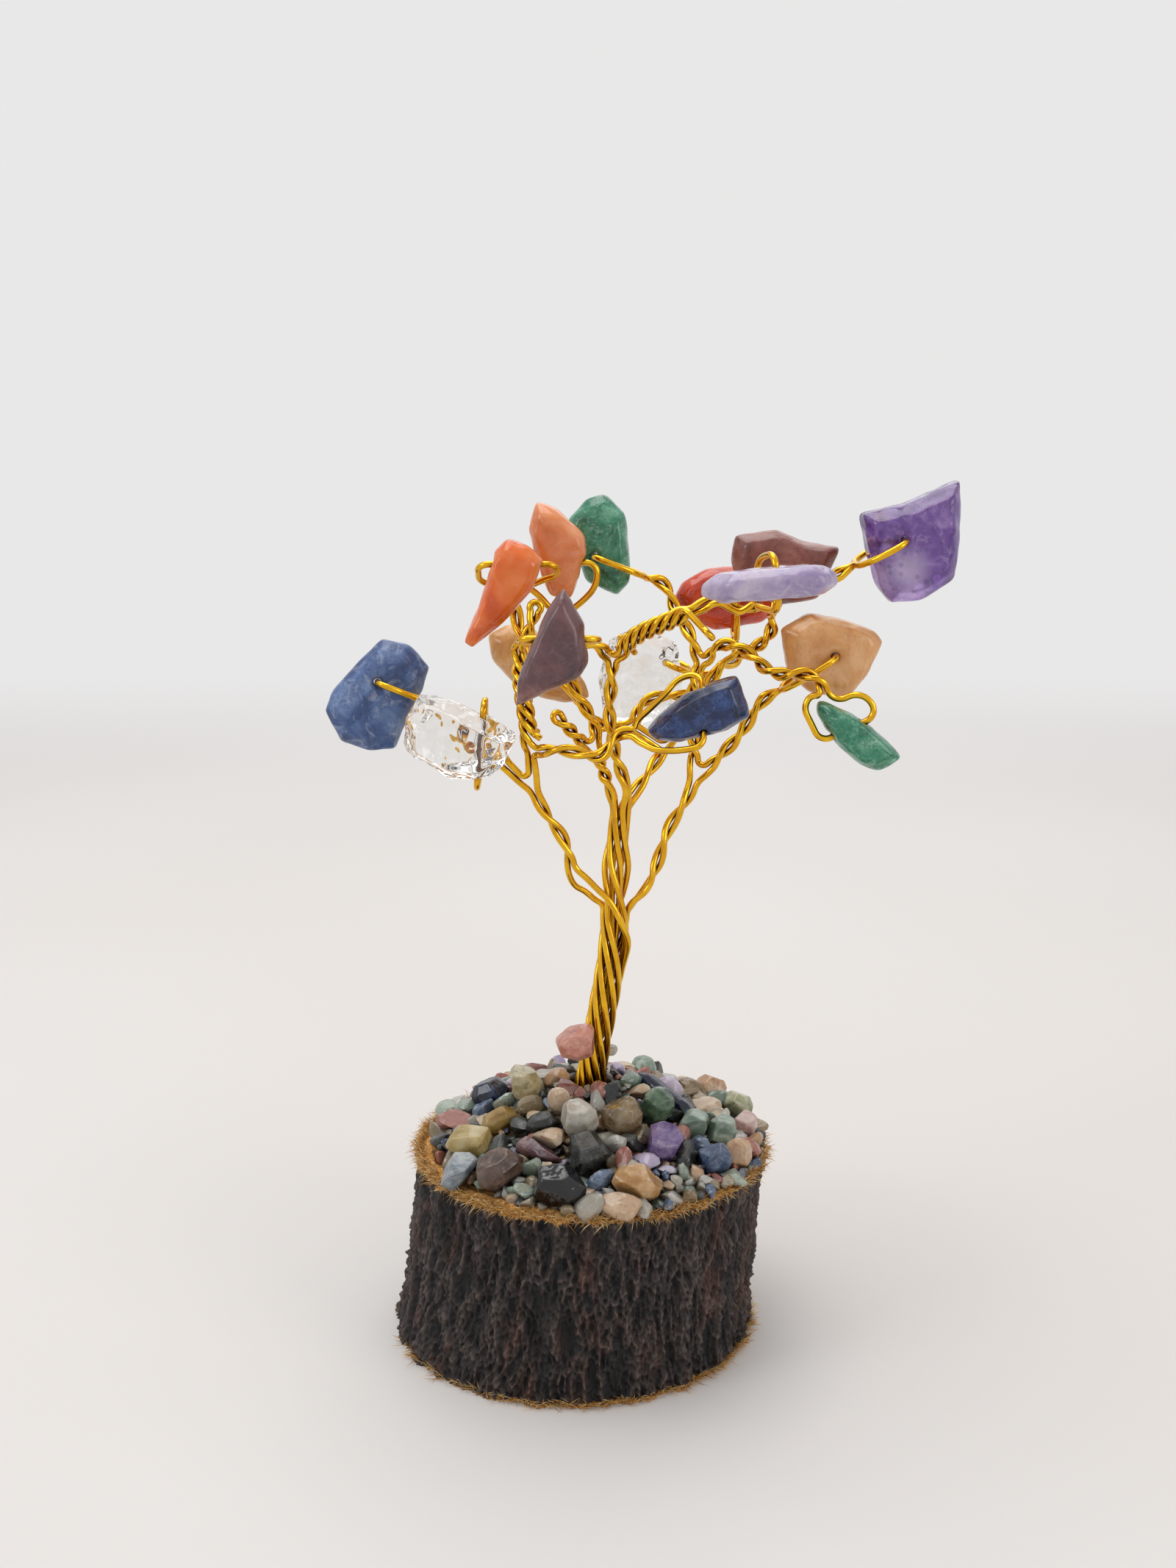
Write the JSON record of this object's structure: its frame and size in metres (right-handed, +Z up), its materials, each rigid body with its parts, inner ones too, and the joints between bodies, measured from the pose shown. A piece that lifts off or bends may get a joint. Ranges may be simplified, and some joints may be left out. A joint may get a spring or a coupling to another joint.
{
  "type": "gemstone tree ornament",
  "caption": "Small ornament: a twisted wire tree hung with loose drilled stone chips, set in a bark-covered slice of branch topped with stone chips.",
  "frame": {"origin": "middle of the log's foot, under the trunk, on the table", "axes": "+X right and +Y away from the viewer as seen in the picture, +Z up"},
  "size_m": [0.0494, 0.0301, 0.0696],
  "materials": {
    "amethyst_chip": "tumbled stone",
    "amethyst_crumbs": "tumbled stone",
    "amethyst_stone": "tumbled stone",
    "back_wire": "enamelled copper",
    "bark_sleeve": "rough bark",
    "black_crumbs": "tumbled stone",
    "black_tourmaline_stone": "tumbled stone",
    "blue_crumbs": "tumbled stone",
    "blue_cube_stone": "tumbled stone",
    "blue_sodalite_chip": "tumbled stone",
    "brown_jasper_chip": "tumbled stone",
    "brown_jasper_stone": "tumbled stone",
    "carnelian_chip": "tumbled stone",
    "centre_left_wire": "enamelled copper",
    "centre_wire": "enamelled copper",
    "citrine_bar_stone": "tumbled stone",
    "clear_crumbs": "tumbled stone",
    "clear_crystal_stone": "tumbled stone",
    "clear_quartz_chip": "tumbled stone",
    "cream_stone": "tumbled stone",
    "front_binding_wire": "enamelled copper",
    "glue_bed": "glossy",
    "green_aventurine_chip": "tumbled stone",
    "green_cone_stone": "tumbled stone",
    "green_crumbs": "tumbled stone",
    "green_oval_stone": "tumbled stone",
    "green_sliver_stone": "tumbled stone",
    "grey_tooth_stone": "tumbled stone",
    "jasper_sliver_stone": "tumbled stone",
    "lapis_chip": "tumbled stone",
    "left_binding_wire": "enamelled copper",
    "left_limb_wire": "enamelled copper",
    "milky_crystal_stone": "tumbled stone",
    "navy_bar_stone": "tumbled stone",
    "navy_sodalite_stone": "tumbled stone",
    "obsidian_stone": "tumbled stone",
    "olive_stone": "tumbled stone",
    "orange_aventurine_chip": "tumbled stone",
    "pale_amethyst_chip": "tumbled stone",
    "pale_green_stone": "tumbled stone",
    "pale_pink_stone": "tumbled stone",
    "peach_agate_stone": "tumbled stone",
    "peach_aventurine_chip": "tumbled stone",
    "peach_chunk_stone": "tumbled stone",
    "peach_crumbs": "tumbled stone",
    "peach_moonstone_chip": "tumbled stone",
    "pink_rhodonite_stone": "tumbled stone",
    "red_carnelian_chip": "tumbled stone",
    "red_crumbs": "tumbled stone",
    "red_jasper_chip": "tumbled stone",
    "red_jasper_stone": "tumbled stone",
    "right_limb_wire": "enamelled copper",
    "rock_crystal_chip": "tumbled stone",
    "small_black_stone": "tumbled stone",
    "small_green_chip": "tumbled stone",
    "smoky_citrine_stone": "tumbled stone",
    "wood_core": "rough sawn",
    "yellow_calcite_stone": "tumbled stone",
    "yellow_crumbs": "tumbled stone"
  },
  "bodies": {
    "tree": {"amethyst_crumbs": "amethyst_crumbs", "amethyst_stone": "amethyst_stone", "back_wire": "back_wire", "bark_sleeve": "bark_sleeve", "black_crumbs": "black_crumbs", "black_tourmaline_stone": "black_tourmaline_stone", "blue_crumbs": "blue_crumbs", "blue_cube_stone": "blue_cube_stone", "brown_jasper_stone": "brown_jasper_stone", "centre_left_wire": "centre_left_wire", "centre_wire": "centre_wire", "citrine_bar_stone": "citrine_bar_stone", "clear_crumbs": "clear_crumbs", "clear_crystal_stone": "clear_crystal_stone", "cream_stone": "cream_stone", "front_binding_wire": "front_binding_wire", "glue_bed": "glue_bed", "green_cone_stone": "green_cone_stone", "green_crumbs": "green_crumbs", "green_oval_stone": "green_oval_stone", "green_sliver_stone": "green_sliver_stone", "grey_tooth_stone": "grey_tooth_stone", "jasper_sliver_stone": "jasper_sliver_stone", "left_binding_wire": "left_binding_wire", "left_limb_wire": "left_limb_wire", "milky_crystal_stone": "milky_crystal_stone", "navy_bar_stone": "navy_bar_stone", "navy_sodalite_stone": "navy_sodalite_stone", "obsidian_stone": "obsidian_stone", "olive_stone": "olive_stone", "pale_green_stone": "pale_green_stone", "pale_pink_stone": "pale_pink_stone", "peach_agate_stone": "peach_agate_stone", "peach_chunk_stone": "peach_chunk_stone", "peach_crumbs": "peach_crumbs", "pink_rhodonite_stone": "pink_rhodonite_stone", "red_crumbs": "red_crumbs", "red_jasper_stone": "red_jasper_stone", "right_limb_wire": "right_limb_wire", "small_black_stone": "small_black_stone", "smoky_citrine_stone": "smoky_citrine_stone", "wood_core": "wood_core", "yellow_calcite_stone": "yellow_calcite_stone", "yellow_crumbs": "yellow_crumbs"},
    "blue_sodalite_chip": {"blue_sodalite_chip": "blue_sodalite_chip"},
    "rock_crystal_chip": {"rock_crystal_chip": "rock_crystal_chip"},
    "carnelian_chip": {"carnelian_chip": "carnelian_chip"},
    "orange_aventurine_chip": {"orange_aventurine_chip": "orange_aventurine_chip"},
    "green_aventurine_chip": {"green_aventurine_chip": "green_aventurine_chip"},
    "brown_jasper_chip": {"brown_jasper_chip": "brown_jasper_chip"},
    "peach_aventurine_chip": {"peach_aventurine_chip": "peach_aventurine_chip"},
    "clear_quartz_chip": {"clear_quartz_chip": "clear_quartz_chip"},
    "pale_amethyst_chip": {"pale_amethyst_chip": "pale_amethyst_chip"},
    "red_jasper_chip": {"red_jasper_chip": "red_jasper_chip"},
    "red_carnelian_chip": {"red_carnelian_chip": "red_carnelian_chip"},
    "amethyst_chip": {"amethyst_chip": "amethyst_chip"},
    "peach_moonstone_chip": {"peach_moonstone_chip": "peach_moonstone_chip"},
    "small_green_chip": {"small_green_chip": "small_green_chip"},
    "lapis_chip": {"lapis_chip": "lapis_chip"}
  },
  "joints": [
    {"name": "blue_sodalite_rock", "type": "hinge", "parent": "tree", "child": "blue_sodalite_chip", "pos_m": [-0.01666, 0.00098, 0.05369], "axis": [0.1186, -0.988, 0.0988], "range_deg": [-8, 8]},
    {"name": "rock_crystal_rock", "type": "hinge", "parent": "tree", "child": "rock_crystal_chip", "pos_m": [-0.00819, -0.0042, 0.05012], "axis": [0.0995, 0, 0.995], "range_deg": [-8, 8]},
    {"name": "carnelian_rock", "type": "hinge", "parent": "tree", "child": "carnelian_chip", "pos_m": [-0.00567, -0.0028, 0.06321], "axis": [1, 0, 0], "range_deg": [-8, 8]},
    {"name": "orange_aventurine_rock", "type": "hinge", "parent": "tree", "child": "orange_aventurine_chip", "pos_m": [-0.00203, 0.00133, 0.06307], "axis": [1, 0, 0], "range_deg": [-8, 8]},
    {"name": "green_aventurine_rock", "type": "hinge", "parent": "tree", "child": "green_aventurine_chip", "pos_m": [0.00063, 0.00504, 0.06328], "axis": [-0.0992, -0.9919, 0.0794], "range_deg": [-8, 8]},
    {"name": "brown_jasper_rock", "type": "hinge", "parent": "tree", "child": "brown_jasper_chip", "pos_m": [-0.00189, -0.00903, 0.05824], "axis": [1, 0, 0], "range_deg": [-8, 8]},
    {"name": "peach_aventurine_rock", "type": "hinge", "parent": "tree", "child": "peach_aventurine_chip", "pos_m": [-0.00357, 0.0056, 0.05418], "axis": [0.0988, -0.988, 0.1186], "range_deg": [-8, 8]},
    {"name": "clear_quartz_rock", "type": "hinge", "parent": "tree", "child": "clear_quartz_chip", "pos_m": [0.00644, 0.00861, 0.05446], "axis": [0, -1, 0], "range_deg": [-8, 8]},
    {"name": "pale_amethyst_rock", "type": "hinge", "parent": "tree", "child": "pale_amethyst_chip", "pos_m": [0.01358, -0.01001, 0.06237], "axis": [-0.0895, 0.0497, 0.9947], "range_deg": [-8, 8]},
    {"name": "red_jasper_rock", "type": "hinge", "parent": "tree", "child": "red_jasper_chip", "pos_m": [0.01491, 0.00182, 0.06097], "axis": [-0.0797, -0.9968, 0], "range_deg": [-8, 8]},
    {"name": "red_carnelian_rock", "type": "hinge", "parent": "tree", "child": "red_carnelian_chip", "pos_m": [0.0119, 0.00658, 0.06006], "axis": [0, -0.9968, 0.0797], "range_deg": [-8, 8]},
    {"name": "amethyst_rock", "type": "hinge", "parent": "tree", "child": "amethyst_chip", "pos_m": [0.02394, -0.00084, 0.06496], "axis": [0.0599, -0.9982, 0], "range_deg": [-8, 8]},
    {"name": "peach_moonstone_rock", "type": "hinge", "parent": "tree", "child": "peach_moonstone_chip", "pos_m": [0.01918, 0.00063, 0.05579], "axis": [0.0795, -0.9937, 0.0795], "range_deg": [-8, 8]},
    {"name": "small_green_rock", "type": "hinge", "parent": "tree", "child": "small_green_chip", "pos_m": [0.01988, -0.00462, 0.05082], "axis": [0.9023, 0, 0.4311], "range_deg": [-8, 8]},
    {"name": "lapis_rock", "type": "hinge", "parent": "tree", "child": "lapis_chip", "pos_m": [0.00868, -0.00511, 0.05257], "axis": [0, -0.6222, -0.7828], "range_deg": [-8, 8]}
  ]
}
